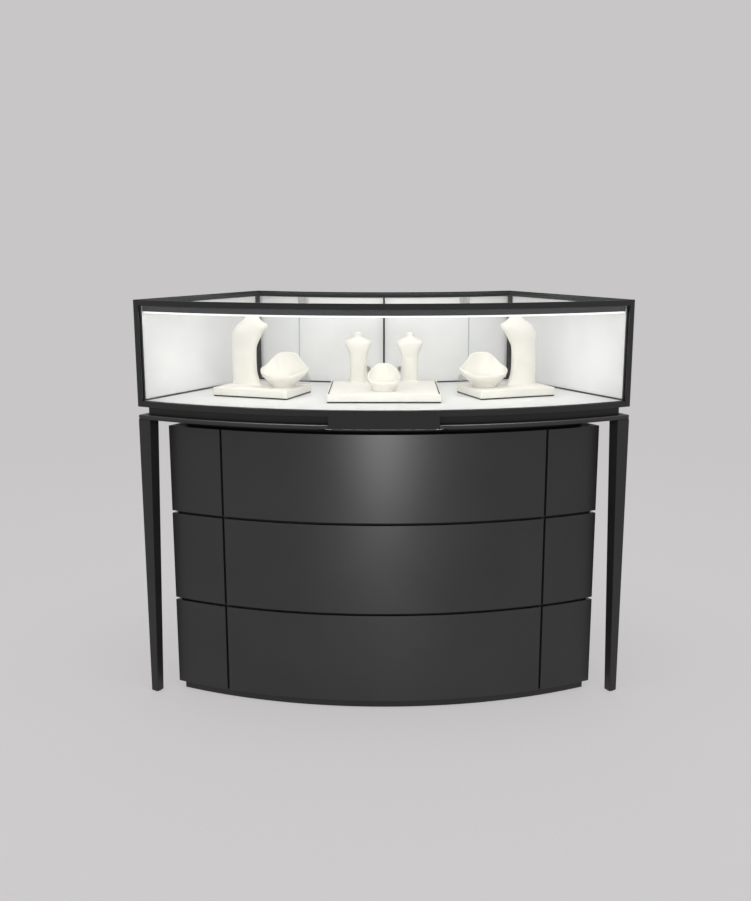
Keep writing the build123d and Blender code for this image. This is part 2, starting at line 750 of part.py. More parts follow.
def dish(radius):
    depth = radius * DISH_DEPTH
    lift = radius * DISH_LIFT
    ball = (radius**2 + depth**2) / (2 * depth)
    middle = Pos(0, 0, ball)
    slab = Pos(0, 0, depth / 2) * Box(3 * radius, 3 * radius, depth)
    cap = (middle * Sphere(ball) - middle * Sphere(ball - DISH_WALL)) & slab
    tipped = Pos(0, radius * DISH_BACK, lift) * Rot(DISH_TIP, 0, 0) * Pos(0, 0, -depth / 2)
    foot = Pos(0, 0, lift / 2) * Cone(radius * FOOT_RADIUS, radius * FOOT_TOP_RADIUS, lift)
    return tipped * cap + (foot - tipped * middle * Sphere(ball - DISH_WALL / 2))


centre_dish = on_centre_tray(0.0, CENTRE_DISH_SETBACK) * dish(CENTRE_DISH)
side_dish = on_side_tray(*SIDE_DISH_PLACE) * dish(SIDE_DISH)
save("ring_dishes", Compound(children=[centre_dish, side_dish, mirrored(side_dish)]))
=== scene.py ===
"""Looks for the curved showcase counter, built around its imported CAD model.

Metres, in the CAD's frame: +Z up, the customer stands on the -Y side. The counter is one sixth
of a ring, so places are given by a radius and an angle about the ring's upright axis.
"""

import json
import math

import bmesh
import bpy
from mathutils import Matrix, Vector


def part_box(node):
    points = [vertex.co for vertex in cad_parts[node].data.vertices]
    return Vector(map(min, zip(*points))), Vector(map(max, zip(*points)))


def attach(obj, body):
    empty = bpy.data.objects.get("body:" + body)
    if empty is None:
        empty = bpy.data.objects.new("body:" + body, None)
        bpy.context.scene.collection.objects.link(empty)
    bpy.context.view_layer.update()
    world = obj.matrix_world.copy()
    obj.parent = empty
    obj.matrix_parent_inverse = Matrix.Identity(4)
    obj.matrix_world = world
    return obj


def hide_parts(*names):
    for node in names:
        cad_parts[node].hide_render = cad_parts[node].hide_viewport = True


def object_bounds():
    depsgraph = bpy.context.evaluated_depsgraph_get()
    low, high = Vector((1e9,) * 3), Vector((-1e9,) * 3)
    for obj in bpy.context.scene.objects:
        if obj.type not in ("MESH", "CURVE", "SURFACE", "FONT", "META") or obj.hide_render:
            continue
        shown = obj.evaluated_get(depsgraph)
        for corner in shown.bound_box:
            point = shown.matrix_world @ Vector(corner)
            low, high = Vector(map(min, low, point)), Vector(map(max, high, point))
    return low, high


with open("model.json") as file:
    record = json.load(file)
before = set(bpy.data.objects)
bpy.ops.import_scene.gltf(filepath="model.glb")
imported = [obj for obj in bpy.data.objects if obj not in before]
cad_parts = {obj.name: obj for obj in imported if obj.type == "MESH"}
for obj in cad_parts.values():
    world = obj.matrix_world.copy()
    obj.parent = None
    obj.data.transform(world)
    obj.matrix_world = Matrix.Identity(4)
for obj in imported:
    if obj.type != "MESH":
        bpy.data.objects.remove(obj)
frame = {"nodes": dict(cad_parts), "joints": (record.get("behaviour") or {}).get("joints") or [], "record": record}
cad_low, cad_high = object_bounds()
nodes = frame["nodes"]
MM = 0.001
ROOT = "counter"

# ---- The ring ------------------------------------------------------------------------
HALF_ANGLE = 30.0
front_radius = (cad_high.x - cad_low.x) / 2 / math.sin(math.radians(HALF_ANGLE))
axis_y = cad_low.y + front_radius


def at(radius, angle, z=0.0):
    """Point at a radius from the ring's axis. Angle 0 is the middle and the right is positive."""
    turn = math.radians(angle)
    return Vector((radius * math.sin(turn), axis_y - radius * math.cos(turn), z))


# ---- Node graphs ---------------------------------------------------------------------
class Paint:
    """One procedural material, built node by node."""

    def __init__(self, name):
        self.material = bpy.data.materials.new(name)
        self.material.use_nodes = True
        self.tree = self.material.node_tree
        self.tree.nodes.clear()
        self.place = self.node("TexCoord").outputs["Object"]

    def node(self, kind, **settings):
        made = self.tree.nodes.new("ShaderNode" + kind)
        for key, value in settings.items():
            setattr(made, key, value)
        return made

    def feed(self, socket, value):
        if isinstance(value, bpy.types.NodeSocket):
            self.tree.links.new(value, socket)
        else:
            socket.default_value = value

    def math(self, operation, *values):
        made = self.node("Math", operation=operation)
        for socket, value in zip(made.inputs, values):
            self.feed(socket, value)
        return made.outputs[0]

    def noise(self, scale, detail=3.0, roughness=0.5, place=None):
        made = self.node("TexNoise")
        self.feed(made.inputs["Vector"], place or self.place)
        self.feed(made.inputs["Scale"], scale)
        self.feed(made.inputs["Detail"], detail)
        self.feed(made.inputs["Roughness"], roughness)
        return made.outputs["Fac"]

    def cells(self, scale):
        """Smoothed distance to the nearest cell's centre."""
        made = self.node("TexVoronoi", feature="SMOOTH_F1")
        self.feed(made.inputs["Vector"], self.place)
        self.feed(made.inputs["Scale"], scale)
        return made.outputs["Distance"]

    def spread(self, value, low, high, to_low, to_high):
        """Maps value from low..high to to_low..to_high."""
        made = self.node("MapRange")
        for name, number in (
            ("Value", value),
            ("From Min", low),
            ("From Max", high),
            ("To Min", to_low),
            ("To Max", to_high),
        ):
            self.feed(made.inputs[name], number)
        return made.outputs["Result"]

    def between(self, share, first, second):
        """Colour between two colours."""
        made = self.node("Mix", data_type="RGBA")
        self.feed(made.inputs["Factor"], share)
        self.feed(made.inputs["A"], first)
        self.feed(made.inputs["B"], second)
        return made.outputs["Result"]

    def stretched(self, scale, place=None):
        """Coordinates scaled by a different number along each axis."""
        made = self.node("Mapping")
        self.feed(made.inputs["Vector"], place or self.place)
        self.feed(made.inputs["Scale"], scale)
        return made.outputs["Vector"]

    def round_the_ring(self):
        """Coordinates along the arc, away from the ring's axis, and up, all in metres."""
        parts = self.node("SeparateXYZ")
        self.feed(parts.inputs[0], self.place)
        depth = self.math("SUBTRACT", axis_y, parts.outputs["Y"])
        turn = self.math("ARCTAN2", parts.outputs["X"], depth)
        square = self.math("ADD", self.math("MULTIPLY", parts.outputs["X"], parts.outputs["X"]),
                           self.math("MULTIPLY", depth, depth))
        joined = self.node("CombineXYZ")
        self.feed(joined.inputs[0], self.math("MULTIPLY", turn, front_radius))
        self.feed(joined.inputs[1], self.math("SQRT", square))
        self.feed(joined.inputs[2], parts.outputs["Z"])
        return joined.outputs[0]

    def bump(self, height, strength, distance):
        made = self.node("Bump")
        self.feed(made.inputs["Strength"], strength)
        self.feed(made.inputs["Distance"], distance)
        self.feed(made.inputs["Height"], height)
        return made.outputs["Normal"]

    def principled(self, **inputs):
        made = self.node("BsdfPrincipled")
        for name, value in inputs.items():
            self.feed(made.inputs[name.replace("_", " ")], value)
        return made.outputs[0]

    def shader(self, kind, **inputs):
        made = self.node(kind)
        for name, value in inputs.items():
            self.feed(made.inputs[name.replace("_", " ")], value)
        return made.outputs[0]

    def blend(self, share, first, second):
        made = self.node("MixShader")
        self.feed(made.inputs[0], share)
        self.feed(made.inputs[1], first)
        self.feed(made.inputs[2], second)
        return made.outputs[0]

    def done(self, surface):
        output = self.node("OutputMaterial")
        self.feed(output.inputs["Surface"], surface)
        return self.material


def rgb(red, green, blue):
    return (red, green, blue, 1.0)


# ---- Materials -----------------------------------------------------------------------
DIODE_PITCH = 12 * MM
LED_GLOW = 10.5             # strength of the diffuser's underside
SKIRT_GLOW = 0.8            # strength of its sides
VEIL = rgb(0.95, 0.945, 0.93)
SIDE_SATIN = 0.43           # share of a pane that scatters light
REAR_SATIN = 0.60
FRAMED_EDGE = (rgb(0.012, 0.020, 0.018), rgb(0.028, 0.042, 0.038))
DOOR_EDGE = (rgb(0.60, 0.68, 0.66), rgb(0.76, 0.82, 0.80))
PLAIN_GLASS = (0.035, 0.9)      # mirrored share seen straight on, and what a slant adds
COATED_GLASS = (0.02, 0.03)     # an anti-glare coat keeps the top clear at a slant


def coated_black(name, dark, light, rough, grain_scale, grain_depth, shine=0.5):
    """Black coating: a fine grain in the surface and a slow drift in tone and gloss."""
    paint = Paint(name)
    drift = paint.noise(5.0, 4.0)
    speck = paint.noise(grain_scale, 2.0, 0.6)
    tone = paint.spread(paint.math("ADD", paint.math("MULTIPLY", drift, 0.75),
                                   paint.math("MULTIPLY", speck, 0.25)), 0.3, 0.7, 0.0, 1.0)
    gloss = paint.spread(paint.math("ADD", drift, paint.math("MULTIPLY", speck, 0.4)),
                         0.4, 1.0, rough[0], rough[1])
    return paint.done(paint.principled(
        Base_Color=paint.between(tone, dark, light),
        Roughness=gloss,
        Specular_IOR_Level=shine,
        Normal=paint.bump(speck, 0.35, grain_depth),
    ))


def brushed_metal(name, tone, rough, along):
    """Metal with fine parallel brush lines, stretched along one direction."""
    paint = Paint(name)
    lines = paint.noise(1.0, 4.0, 0.65, paint.stretched(along))
    drift = paint.noise(40.0, 2.0)
    dull = rgb(*(channel * 0.78 for channel in tone[:3]))
    return paint.done(paint.principled(
        Base_Color=paint.between(paint.spread(lines, 0.35, 0.65, 0.0, 1.0), dull, tone),
        Metallic=1.0,
        Roughness=paint.spread(paint.math("ADD", lines, drift), 0.7, 1.3, rough[0], rough[1]),
        Normal=paint.bump(lines, 0.25, 0.05 * MM),
    ))


def anodised_housing():
    """Dark grey anodised profile, with extrusion lines that run round the ring."""
    paint = Paint("led_aluminium")
    along = paint.stretched((2.0, 900.0, 900.0), paint.round_the_ring())
    lines = paint.noise(1.0, 3.0, 0.6, along)
    drift = paint.noise(3.0, 3.0)
    return paint.done(paint.principled(
        Base_Color=paint.between(paint.spread(lines, 0.3, 0.7, 0.0, 1.0),
                                 rgb(0.060, 0.062, 0.066), rgb(0.095, 0.097, 0.102)),
        Metallic=0.7,
        Roughness=paint.spread(drift, 0.35, 0.65, 0.38, 0.5),
        Normal=paint.bump(lines, 0.2, 0.05 * MM),
    ))


def pane_share(paint, across):
    """1 on the two broad faces of a pane and 0 on its edges. Across is the way through the pane: up,
    out from the ring's axis, or round the ring."""
    geometry = paint.node("NewGeometry")
    if across == "up":
        direction = (0.0, 0.0, 1.0)
    else:
        outward = paint.node("VectorMath", operation="SUBTRACT")
        paint.feed(outward.inputs[0], paint.place)
        paint.feed(outward.inputs[1], (0.0, axis_y, 0.0))
        flat = paint.node("VectorMath", operation="MULTIPLY")
        paint.feed(flat.inputs[0], outward.outputs[0])
        paint.feed(flat.inputs[1], (1.0, 1.0, 0.0))
        if across == "round":
            quarter = paint.node("VectorRotate", rotation_type="Z_AXIS")
            paint.feed(quarter.inputs["Vector"], flat.outputs[0])
            paint.feed(quarter.inputs["Angle"], math.pi / 2)
            flat = quarter
        unit = paint.node("VectorMath", operation="NORMALIZE")
        paint.feed(unit.inputs[0], flat.outputs[0])
        direction = unit.outputs[0]
    turned = paint.node(
        "VectorTransform", vector_type="NORMAL", convert_from="WORLD", convert_to="OBJECT"
    )
    paint.feed(turned.inputs[0], geometry.outputs["True Normal"])
    facing = paint.node("VectorMath", operation="DOT_PRODUCT")
    paint.feed(facing.inputs[0], turned.outputs[0])
    paint.feed(facing.inputs[1], direction)
    return paint.spread(paint.math("ABSOLUTE", facing.outputs["Value"]), 0.75, 0.9, 0.0, 1.0)


def glass(name, across, edges, satin=0.0, mirrored=PLAIN_GLASS):
    """Float glass seen as a thin pane. It mirrors more at a slant, its edges have a tone of their
    own, and a satin share of it scatters light."""
    paint = Paint(name)
    layer = paint.node("LayerWeight")
    paint.feed(layer.inputs["Blend"], 0.5)
    slant = paint.math("POWER", layer.outputs["Facing"], 5.0)
    mirror = paint.math("MULTIPLY_ADD", slant, mirrored[1], mirrored[0])
    clear = paint.shader("BsdfTransparent", Color=rgb(0.985, 0.992, 0.989))
    if satin:
        cloud = paint.noise(9.0, 4.0)
        veil = paint.blend(
            0.5,
            paint.shader("BsdfDiffuse", Color=VEIL),
            paint.shader("BsdfTranslucent", Color=VEIL),
        )
        clear = paint.blend(paint.spread(cloud, 0.3, 0.7, satin * 0.94, satin * 1.06), clear, veil)
    sheen = paint.shader("BsdfGlossy", Color=rgb(0.96, 0.98, 0.97), Roughness=0.03)
    face = paint.blend(mirror, clear, sheen)
    edge = paint.principled(
        Base_Color=paint.between(paint.noise(120.0, 3.0), *edges),
        Roughness=0.18,
    )
    return paint.done(paint.blend(pane_share(paint, across), edge, face))


def laminate(name, dark, light):
    """Satin laminate: a faint cloud in the tone and a fine emboss."""
    paint = Paint(name)
    cloud = paint.noise(14.0, 5.0, 0.6)
    emboss = paint.noise(1600.0, 2.0, 0.6)
    return paint.done(paint.principled(
        Base_Color=paint.between(cloud, dark, light),
        Roughness=paint.spread(emboss, 0.3, 0.7, 0.30, 0.38),
        Normal=paint.bump(emboss, 0.15, 0.03 * MM),
    ))


def diode_wave(paint):
    """1 at each diode along the arc and -1 halfway between two."""
    parts = paint.node("SeparateXYZ")
    paint.feed(parts.inputs[0], paint.round_the_ring())
    return paint.math("COSINE", paint.math("MULTIPLY", parts.outputs["X"], 2 * math.pi / DIODE_PITCH))


def lit_diffuser():
    """Opal strip whose underside glows, a little brighter below each diode. Its sides glow faintly."""
    paint = Paint("led_diffuser")
    wave = diode_wave(paint)
    ripple = paint.spread(wave, -1.0, 1.0, LED_GLOW * 0.92, LED_GLOW * 1.08)
    tilt = paint.node("SeparateXYZ")
    paint.feed(tilt.inputs[0], paint.node("NewGeometry").outputs["True Normal"])
    below = paint.spread(tilt.outputs["Z"], -0.9, -0.5, 1.0, 0.0)
    glow = paint.math("ADD", paint.math("MULTIPLY", ripple, below), SKIRT_GLOW)
    return paint.done(paint.principled(
        Base_Color=rgb(0.92, 0.92, 0.90),
        Roughness=0.4,
        Emission_Color=rgb(1.0, 0.985, 0.955),
        Emission_Strength=glow,
    ))


def diode_board():
    """White strip with a yellow dot for each diode."""
    paint = Paint("led_board")
    wave = diode_wave(paint)
    dot = paint.spread(wave, 0.80, 0.86, 0.0, 1.0)
    return paint.done(paint.principled(
        Base_Color=paint.between(dot, rgb(0.80, 0.80, 0.78), rgb(0.85, 0.66, 0.12)),
        Roughness=paint.spread(dot, 0.0, 1.0, 0.5, 0.25),
        Normal=paint.bump(dot, 0.5, 0.3 * MM),
    ))


def leatherette():
    """Ivory leatherette: pebbled grain with fine pores and a soft sheen."""
    paint = Paint("white_leatherette")
    pebble = paint.cells(780.0)
    pore = paint.noise(2600.0, 2.0, 0.6)
    cloud = paint.noise(30.0, 4.0)
    grain = paint.math("ADD", pebble, paint.math("MULTIPLY", pore, 0.25))
    tone = paint.math("ADD", paint.math("MULTIPLY", cloud, 0.6), paint.math("MULTIPLY", pebble, 0.4))
    return paint.done(paint.principled(
        Base_Color=paint.between(paint.spread(tone, 0.3, 0.7, 0.0, 1.0),
                                 rgb(0.775, 0.752, 0.695), rgb(0.71, 0.684, 0.622)),
        Roughness=paint.spread(grain, 0.2, 0.9, 0.46, 0.62),
        Sheen_Weight=0.12,
        Sheen_Roughness=0.5,
        Normal=paint.bump(grain, 0.35, 0.12 * MM),
    ))


def thread():
    """Twisted ivory sewing thread."""
    paint = Paint("ivory_thread")
    twist = paint.noise(4200.0, 2.0)
    return paint.done(paint.principled(
        Base_Color=paint.between(twist, rgb(0.78, 0.75, 0.68), rgb(0.90, 0.88, 0.82)),
        Roughness=0.7,
        Normal=paint.bump(twist, 0.5, 0.1 * MM),
    ))


def rubber():
    """Matt black rubber with a dusty bloom."""
    paint = Paint("black_rubber")
    dust = paint.noise(60.0, 5.0, 0.65)
    return paint.done(paint.principled(
        Base_Color=paint.between(dust, rgb(0.010, 0.010, 0.010), rgb(0.028, 0.027, 0.026)),
        Roughness=paint.spread(dust, 0.3, 0.7, 0.7, 0.88),
        Normal=paint.bump(paint.noise(900.0), 0.3, 0.1 * MM),
    ))


def moulded_plastic():
    """Off-white moulded case with a spark-eroded texture."""
    paint = Paint("driver_plastic")
    spark = paint.noise(1100.0, 3.0, 0.7)
    return paint.done(paint.principled(
        Base_Color=paint.between(paint.noise(25.0), rgb(0.76, 0.76, 0.73), rgb(0.84, 0.84, 0.81)),
        Roughness=paint.spread(spark, 0.3, 0.7, 0.5, 0.65),
        Normal=paint.bump(spark, 0.4, 0.08 * MM),
    ))


finishes = {
    "black_metal": coated_black(
        "black_metal", rgb(0.010, 0.0098, 0.0095), rgb(0.017, 0.0167, 0.0162), (0.36, 0.46), 1500.0,
        0.04 * MM,
    ),
    "black_lacquer": coated_black(
        "black_lacquer", rgb(0.014, 0.014, 0.014), rgb(0.020, 0.020, 0.020), (0.335, 0.37), 700.0,
        0.02 * MM,
    ),
    "black_board": coated_black(
        "black_board", rgb(0.016, 0.016, 0.016), rgb(0.028, 0.028, 0.028), (0.50, 0.62), 500.0,
        0.06 * MM,
    ),
    "white_laminate": laminate("white_laminate", rgb(0.49, 0.49, 0.482), rgb(0.55, 0.55, 0.54)),
    "led_aluminium": anodised_housing(),
    "track_aluminium": brushed_metal(
        "track_aluminium", rgb(0.62, 0.63, 0.64), (0.28, 0.42), (8.0, 900.0, 900.0)
    ),
    "led_board": diode_board(),
    "led_diffuser": lit_diffuser(),
    "brushed_steel": brushed_metal(
        "brushed_steel", rgb(0.60, 0.59, 0.57), (0.20, 0.36), (1200.0, 1200.0, 30.0)
    ),
    "black_rubber": rubber(),
    "driver_plastic": moulded_plastic(),
}
LEATHERETTE = leatherette()
THREAD = thread()
panes = {
    "front_glass": glass("front_pane", "out", FRAMED_EDGE),
    "top_glass": glass("top_pane", "up", FRAMED_EDGE, 0.0, COATED_GLASS),
    "side_glass": glass("side_pane", "round", FRAMED_EDGE, SIDE_SATIN),
    "rear_fixed_glass": glass("rear_pane", "out", DOOR_EDGE, REAR_SATIN),
    "left_glass_door": glass("left_door_pane", "out", DOOR_EDGE, REAR_SATIN),
    "right_glass_door": glass("right_door_pane", "out", DOOR_EDGE, REAR_SATIN),
}
DULL_BLACK = coated_black(
    "dull_black_metal", rgb(0.005, 0.005, 0.005), rgb(0.009, 0.009, 0.009), (0.45, 0.55), 1500.0,
    0.04 * MM, 0.2,
)
POLISHED_STEEL = brushed_metal(
    "polished_steel", rgb(0.90, 0.90, 0.89), (0.22, 0.34), (900.0, 900.0, 30.0)
)
own_finish = {
    "case_top_rear_rail": DULL_BLACK,
    "case_bottom_rear_rail": DULL_BLACK,
    "rear_centre_mullion": DULL_BLACK,
    "left_glass_door_pivots": POLISHED_STEEL,
    "right_glass_door_pivots": POLISHED_STEEL,
    **panes,
}
slot_of = {part["node"]: part["material_slot"] for part in frame["record"]["subparts"]}

# ---- CAD nodes -----------------------------------------------------------------------
EDGE = {                    # bevel width of each material slot, in millimetres
    "black_metal": 0.9,
    "black_lacquer": 0.7,
    "black_board": 0.5,
    "brushed_steel": 0.4,
    "track_aluminium": 0.3,
    "driver_plastic": 1.5,
    "led_aluminium": 0.3,
}
WIDE_EDGE = {"base_front_rail": 2.2, "base_side_rails": 2.2, "base_rear_rail": 2.2}
WIDEST_CLAMPED = 1.5 * MM   # wider bevels keep their full width round the curve
WELD_REACH = 0.01 * MM
BEVEL_FROM = math.radians(35)   # only edges that turn by more than this are bevelled


def soften_edges(piece, width):
    """Real edges are never sharp: a narrow rounded bevel catches the light along them."""
    weld = piece.modifiers.new("weld", "WELD")
    weld.merge_threshold = WELD_REACH
    bevel = piece.modifiers.new("bevel", "BEVEL")
    bevel.width = width
    bevel.segments = 2
    bevel.use_clamp_overlap = width < WIDEST_CLAMPED
    bevel.limit_method = "ANGLE"
    bevel.angle_limit = BEVEL_FROM
    even = piece.modifiers.new("even", "WEIGHTED_NORMAL")
    even.keep_sharp = False


for name, node in nodes.items():
    slot = slot_of[name]
    finish = own_finish.get(name) or finishes.get(slot)
    if finish is not None:
        for held in node.material_slots:
            held.material = finish
    if slot in EDGE:
        soften_edges(node, WIDE_EDGE.get(name, EDGE[slot]) * MM)


# ---- Mesh helpers --------------------------------------------------------------------
upholstered = []


def piece_from(name, maker, material, slot, place=Matrix.Identity(4), body=ROOT):
    """New object whose mesh maker fills, moved to its place and riding on a body."""
    mesh = bpy.data.meshes.new(name)
    work = bmesh.new()
    maker(work)
    bmesh.ops.transform(work, matrix=place, verts=work.verts)
    bmesh.ops.recalc_face_normals(work, faces=work.faces)
    work.to_mesh(mesh)
    work.free()
    for face in mesh.polygons:
        face.use_smooth = True
    made = bpy.data.objects.new(name, mesh)
    bpy.context.scene.collection.objects.link(made)
    made.data.materials.append(material)
    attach(made, body)
    if slot == "white_leatherette":
        upholstered.append(made)
    return made


def flat_shaded(made):
    """Crisp facets, for a straight strip."""
    faces = made.data.polygons
    faces.foreach_set("use_smooth", [False] * len(faces))


def loft(work, rings, cap=True):
    """Skin over a stack of rings that all have the same number of points."""
    rows = [[work.verts.new(point) for point in ring] for ring in rings]
    count = len(rows[0])
    for low, high in zip(rows, rows[1:]):
        for i in range(count):
            j = (i + 1) % count
            work.faces.new((low[i], low[j], high[j], high[i]))
    if cap:
        for row in (rows[0], rows[-1]):
            middle = work.verts.new(sum((vert.co for vert in row), Vector()) / count)
            for i in range(count):
                work.faces.new((row[i], row[(i + 1) % count], middle))


def eased(stations, x):
    """Smooth curve through (x, value) stations that never overshoots them."""
    xs = [station[0] for station in stations]
    ys = [station[1] for station in stations]
    slopes = [(ys[i + 1] - ys[i]) / (xs[i + 1] - xs[i]) for i in range(len(xs) - 1)]
    ends = [slopes[0]]
    for before, after in zip(slopes, slopes[1:]):
        ends.append(0.0 if before * after <= 0 else 2 * before * after / (before + after))
    ends.append(slopes[-1])
    i = 0
    while i < len(slopes) - 1 and x > xs[i + 1]:
        i += 1
    span = xs[i + 1] - xs[i]
    t = min(1.0, max(0.0, (x - xs[i]) / span))
    return (
        (1 + 2 * t) * (1 - t) ** 2 * ys[i]
        + t * (1 - t) ** 2 * span * ends[i]
        + t * t * (3 - 2 * t) * ys[i + 1]
        + t * t * (t - 1) * span * ends[i + 1]
    )


def rounded_outline(width, depth, corner, steps=6):
    """Rounded rectangle round the origin, as (x, y) points."""
    points = []
    for quarter, (sx, sy) in enumerate(((1, 1), (-1, 1), (-1, -1), (1, -1))):
        for step in range(steps + 1):
            turn = math.radians(90 * quarter + 90 * step / steps)
            points.append((
                sx * (width / 2 - corner) + corner * math.cos(turn),
                sy * (depth / 2 - corner) + corner * math.sin(turn),
            ))
    return points


def tube_along(work, points, radius, sides=8):
    """Round bead along an open chain of points."""
    turns = [2 * math.pi * k / sides for k in range(sides)]
    rings = []
    for i, point in enumerate(points):
        before = points[max(i - 1, 0)]
        after = points[min(i + 1, len(points) - 1)]
        ahead = (after - before).normalized()
        side = ahead.cross(Vector((0, 0, 1)))
        side = side.normalized() if side.length > 1e-6 else Vector((1, 0, 0))
        up = side.cross(ahead)
        rings.append([point + radius * (math.cos(turn) * side + math.sin(turn) * up) for turn in turns])
    loft(work, rings)


# ---- Glazing beads -------------------------------------------------------------------
BEAD = 4.6                  # how far a bead reaches in from its pane, in millimetres
BEAD_HEIGHT = 3.2
SUNK = 0.4                  # how far a strip is let into the rear rail, so that no gap shows
DOOR_STOP_HEIGHT = 1.8      # near the pivots, low enough for the doors' fittings to pass over
PANE_BACK = 10.0 * MM       # inner face of a side pane, from the counter's side
REAR_INNER = 714.0 * MM     # inner side of the rear rails, from the ring's axis
FRONT_INNER = 1186.0 * MM
SIDE_BEAD_GAP = 4.0 * MM    # between a side bead's ends and the front and rear rails
REAR_END_ANGLE = HALF_ANGLE - 1.3
DOOR_EDGE_ANGLE = 19.2
PIVOT_CLEAR_ANGLE = 16.6    # the doors' patch fittings swing over the stops beyond this
COVER_WIDTH = 13.0          # of a corner cover, in millimetres
COVER_DEPTH = 5.0
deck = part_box("deck_lining")[1].z
case_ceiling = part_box("rear_centre_mullion")[1].z


def bead_profile(height):
    """Section of a bead: flat against the pane and the deck, with a rounded upper corner."""
    return (
        (0.0, 0.0), (0.0, height), (BEAD - 1.4, height), (BEAD - 0.5, height - 0.3),
        (BEAD - 0.1, height - 0.9), (BEAD, height - 1.4), (BEAD, 0.0),
    )


def bead_along(path, height):
    """Bead along a path of (point, direction into the case)."""
    def make(work):
        loft(work, [
            [point + inward * x * MM + Vector((0.0, 0.0, z * MM)) for x, z in bead_profile(height)]
            for point, inward in path
        ])
    return make


def into_case(sign):
    """Direction from a side pane into the case; sign is -1 at the left and +1 at the right."""
    slope = math.radians(HALF_ANGLE)
    return Vector((-sign * math.cos(slope), -math.sin(slope), 0.0))


def side_path(sign):
    """Along the inner face of a side pane."""
    inward = into_case(sign)
    return [
        (at(radius, sign * HALF_ANGLE, deck) + inward * PANE_BACK, inward)
        for radius in (REAR_INNER + SIDE_BEAD_GAP, FRONT_INNER - SIDE_BEAD_GAP)
    ]


def rear_path(left, right, steps=24):
    """Along the inner side of the rear rail, between two angles."""
    path = []
    for step in range(steps + 1):
        angle = left + (right - left) * step / steps
        inward = (at(1.0, angle) - at(0.0, angle)).normalized()
        path.append((at(REAR_INNER - SUNK * MM, angle, deck), inward))
    return path


bead_paths = {
    "side_bead_left": (side_path(-1), BEAD_HEIGHT),
    "side_bead_right": (side_path(1), BEAD_HEIGHT),
    "rear_bead_left": (rear_path(-REAR_END_ANGLE, -DOOR_EDGE_ANGLE), BEAD_HEIGHT),
    "rear_bead_right": (rear_path(DOOR_EDGE_ANGLE, REAR_END_ANGLE), BEAD_HEIGHT),
    "rear_door_stop_left": (rear_path(-DOOR_EDGE_ANGLE, -PIVOT_CLEAR_ANGLE, 6), DOOR_STOP_HEIGHT),
    "rear_door_stop": (rear_path(-PIVOT_CLEAR_ANGLE, PIVOT_CLEAR_ANGLE, 60), BEAD_HEIGHT),
    "rear_door_stop_right": (rear_path(PIVOT_CLEAR_ANGLE, DOOR_EDGE_ANGLE, 6), DOOR_STOP_HEIGHT),
}
for name, (path, height) in bead_paths.items():
    bead = piece_from(name, bead_along(path, height), DULL_BLACK, "black_metal")
    flat_shaded(bead)


def upright_bead(sign):
    """Cover strip that stands in a rear corner, flat on the inner face of the side pane."""
    slope = math.radians(HALF_ANGLE)
    inward = into_case(sign)
    outward = Vector((sign * math.sin(slope), -math.cos(slope), 0.0))
    corner = at(REAR_INNER, sign * HALF_ANGLE, deck) + inward * PANE_BACK
    profile = (
        (0.0, -SUNK), (0.0, COVER_WIDTH), (COVER_DEPTH - 1.0, COVER_WIDTH),
        (COVER_DEPTH, COVER_WIDTH - 1.0), (COVER_DEPTH, -SUNK),
    )

    def make(work):
        loft(work, [
            [corner + inward * x * MM + outward * y * MM + Vector((0.0, 0.0, z)) for x, y in profile]
            for z in (0.0, case_ceiling - deck)
        ])
    return make


for side, sign in (("left", -1), ("right", 1)):
    cover = piece_from(f"corner_cover_{side}", upright_bead(sign), DULL_BLACK, "black_metal")
    flat_shaded(cover)


# ---- Display trays -------------------------------------------------------------------
TRAY_TURN = math.radians(20.4)
TRAY_CORNER = 3.0 * MM
# The black foot under each tray is painted shade: it stands in for the tray's contact shadow on the deck.
SHADOW_FOOT_INSET = 1.0 * MM
SHADOW_FOOT_HEIGHT = 3.4
RIM = 2.6                   # wall round the tray's top, in millimetres
GAP_FLOOR = 1.8             # top of the painted shade strip in the gap between the wall and the pad, below the wall's top
PAD_INSET = 5.6 * MM
PAD_RISE = 4.0 * MM
STITCH_INSET = 12.0 * MM
STITCH_LENGTH = 2.4 * MM
STITCH_PITCH = 3.6 * MM
STITCH_RADIUS = 0.28 * MM
STITCH_SUNK = 0.30 * MM     # below the top of the pad
TIGHTEST_CORNER = 0.6 * MM
CENTRE_TRAY = (276.0 * MM, 253.0 * MM)
SIDE_TRAY = (204.0 * MM, 147.0 * MM)

trays_low, trays_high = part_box("display_trays")
tray_height = trays_high.z - deck
centre_tray = Matrix.Translation((0.0, trays_low.y + CENTRE_TRAY[1] / 2, deck))
half_width = SIDE_TRAY[0] / 2 - TRAY_CORNER
half_depth = SIDE_TRAY[1] / 2 - TRAY_CORNER
left_tray = Matrix.Translation((
    -(trays_high.x - TRAY_CORNER - half_width * math.cos(TRAY_TURN) - half_depth * math.sin(TRAY_TURN)),
    trays_high.y - TRAY_CORNER - half_width * math.sin(TRAY_TURN) - half_depth * math.cos(TRAY_TURN),
    deck,
)) @ Matrix.Rotation(-TRAY_TURN, 4, "Z")
right_tray = Matrix.Scale(-1, 4, (1, 0, 0)) @ left_tray
trays = {
    "centre": (centre_tray, CENTRE_TRAY),
    "left": (left_tray, SIDE_TRAY),
    "right": (right_tray, SIDE_TRAY),
}


def outline_ring(size, inset, z):
    """Rounded outline of a tray, set in from its size, at a height."""
    corner = max(TRAY_CORNER - inset, TIGHTEST_CORNER)
    return [
        Vector((x, y, z))
        for x, y in rounded_outline(size[0] - 2 * inset, size[1] - 2 * inset, corner)
    ]


def tray_shadow_foot(size):
    """Thin black piece under a tray, set in a little: painted shade that leaves a dark line on the deck, standing
    in for the tray's contact shadow.
    """
    def make(work):
        loft(work, [outline_ring(size, SHADOW_FOOT_INSET, z * MM) for z in (0.0, SHADOW_FOOT_HEIGHT)])
    return make


